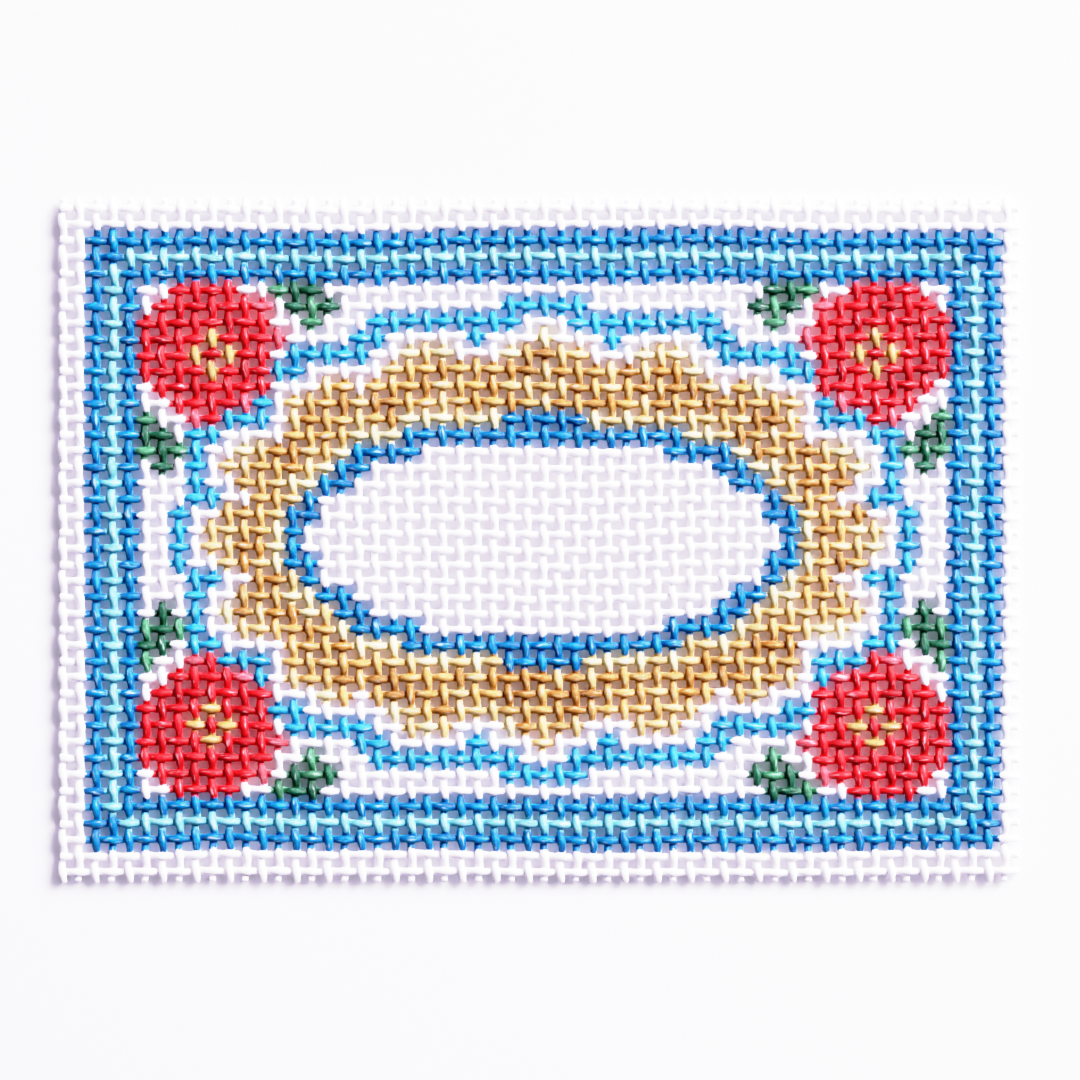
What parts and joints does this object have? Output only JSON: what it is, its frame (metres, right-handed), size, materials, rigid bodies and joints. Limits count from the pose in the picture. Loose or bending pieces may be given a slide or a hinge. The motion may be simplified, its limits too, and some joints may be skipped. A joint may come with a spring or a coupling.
{
  "type": "needlepoint canvas panel",
  "caption": "Flat rectangular panel of plain-weave mono canvas, cut on all four sides, painted with a striped border and a floral frame around a bare middle.",
  "frame": {"origin": "centre of the panel's outline, on its underside", "axes": "+X along the horizontal threads, +Y along the vertical threads towards the top of the painting, +Z out of the painted face"},
  "size_m": [0.0818, 0.0582, 0.001],
  "materials": {
    "canvas_cotton": "sized cotton threads, bare and hand painted"
  },
  "bodies": {
    "root": {"canvas": "canvas_cotton"}
  },
  "joints": []
}
